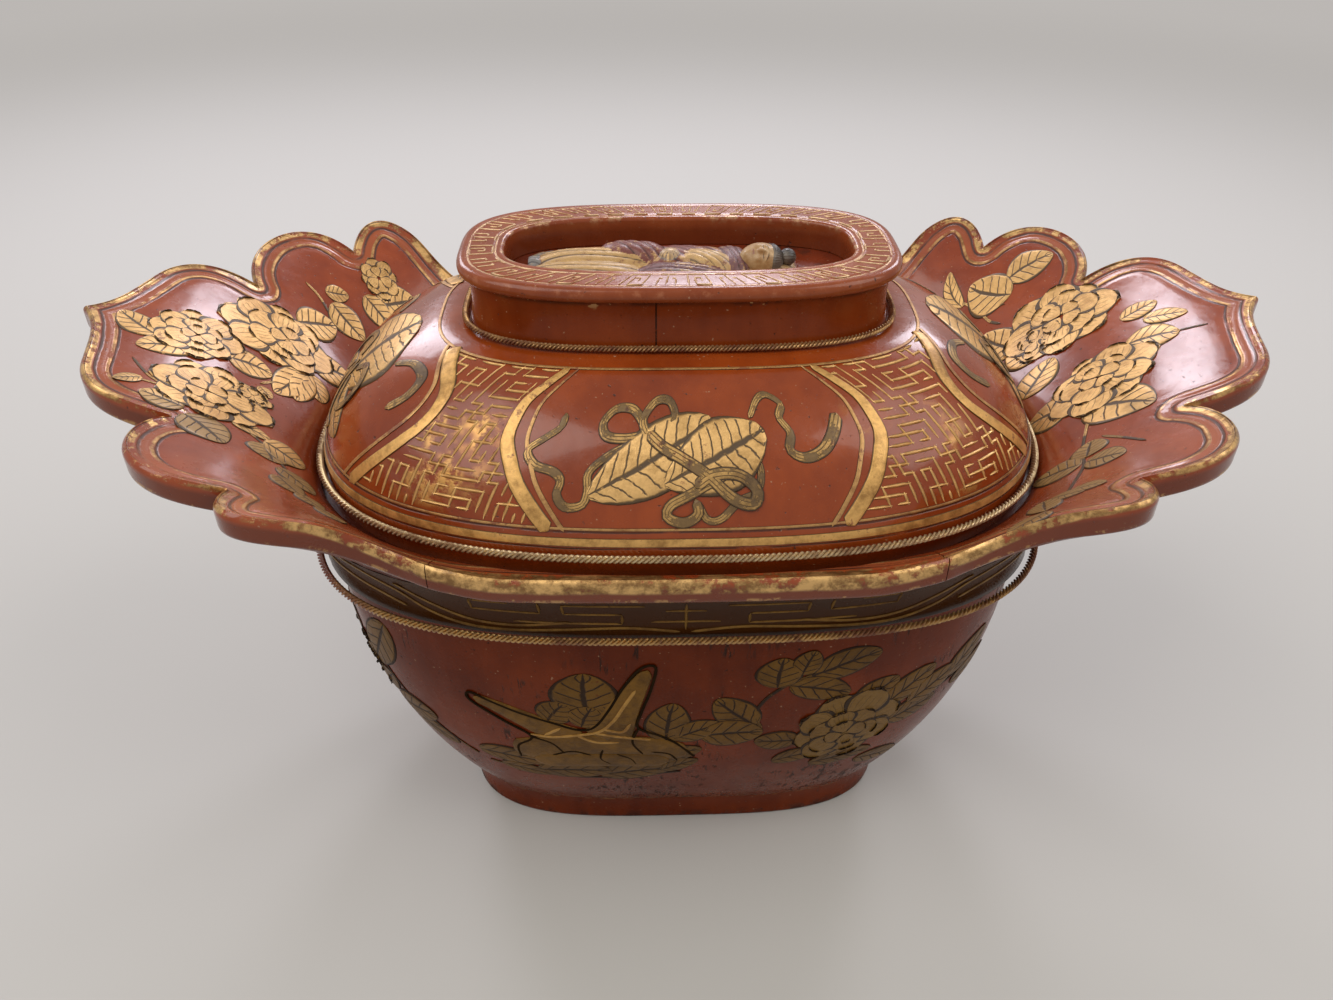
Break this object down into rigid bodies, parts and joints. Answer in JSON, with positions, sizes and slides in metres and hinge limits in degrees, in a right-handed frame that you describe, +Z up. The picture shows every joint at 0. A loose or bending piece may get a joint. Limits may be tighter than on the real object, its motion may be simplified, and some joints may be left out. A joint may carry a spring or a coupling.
{
  "type": "covered rice pot",
  "caption": "Lacquered wooden rice pot: oval stave-built bowl on a foot, lobed wing handles, domed lift-off lid with an oval neck and a carved reclining figure.",
  "frame": {"origin": "on the ground under the middle of the foot", "axes": "+X towards the right wing, +Y to the back, +Z up"},
  "size_m": [0.46, 0.2406, 0.26],
  "materials": {
    "red_lacquer": "glossy red-brown lacquer with worn gilt painting",
    "dark_red_lacquer": "glossy dark red-brown lacquer with dull gilt painting",
    "inside_lacquer": "dark red lacquer, satin",
    "twisted_wire": "twisted wire, worn gilding",
    "worn_gilding": "carved wood under worn gilding"
  },
  "bodies": {
    "bowl": {"foot_ring": "dark_red_lacquer", "floor_board": "inside_lacquer", "bowl_stave_1": "dark_red_lacquer", "bowl_stave_2": "dark_red_lacquer", "bowl_stave_3": "dark_red_lacquer", "bowl_stave_4": "dark_red_lacquer", "bowl_stave_5": "dark_red_lacquer", "bowl_stave_6": "dark_red_lacquer", "bowl_stave_7": "dark_red_lacquer", "bowl_stave_8": "dark_red_lacquer", "bowl_stave_9": "dark_red_lacquer", "bowl_stave_10": "dark_red_lacquer", "bowl_stave_11": "dark_red_lacquer", "bowl_stave_12": "dark_red_lacquer", "bowl_stave_13": "dark_red_lacquer", "bowl_stave_14": "dark_red_lacquer", "bowl_stave_15": "dark_red_lacquer", "bowl_stave_16": "dark_red_lacquer", "bowl_hoop": "twisted_wire", "seat_ring": "inside_lacquer", "right_wing": "red_lacquer", "left_wing": "red_lacquer", "front_rail": "red_lacquer", "back_rail": "red_lacquer"},
    "lid": {"lid_stave_1": "red_lacquer", "lid_stave_2": "red_lacquer", "lid_stave_3": "red_lacquer", "lid_stave_4": "red_lacquer", "lid_stave_5": "red_lacquer", "lid_stave_6": "red_lacquer", "lid_stave_7": "red_lacquer", "lid_stave_8": "red_lacquer", "lid_stave_9": "red_lacquer", "lid_stave_10": "red_lacquer", "lid_stave_11": "red_lacquer", "lid_stave_12": "red_lacquer", "lid_flange": "inside_lacquer", "lid_hoop": "twisted_wire", "crown_board": "red_lacquer", "neck_left": "dark_red_lacquer", "neck_right": "dark_red_lacquer", "neck_hoop": "twisted_wire", "panel_block": "dark_red_lacquer", "top_ring": "red_lacquer", "reclining_figure": "worn_gilding"}
  },
  "joints": [
    {"name": "lid_lift", "type": "slide", "parent": "bowl", "child": "lid", "axis": [0, 0, 1], "range_m": [0, 0.15]}
  ]
}
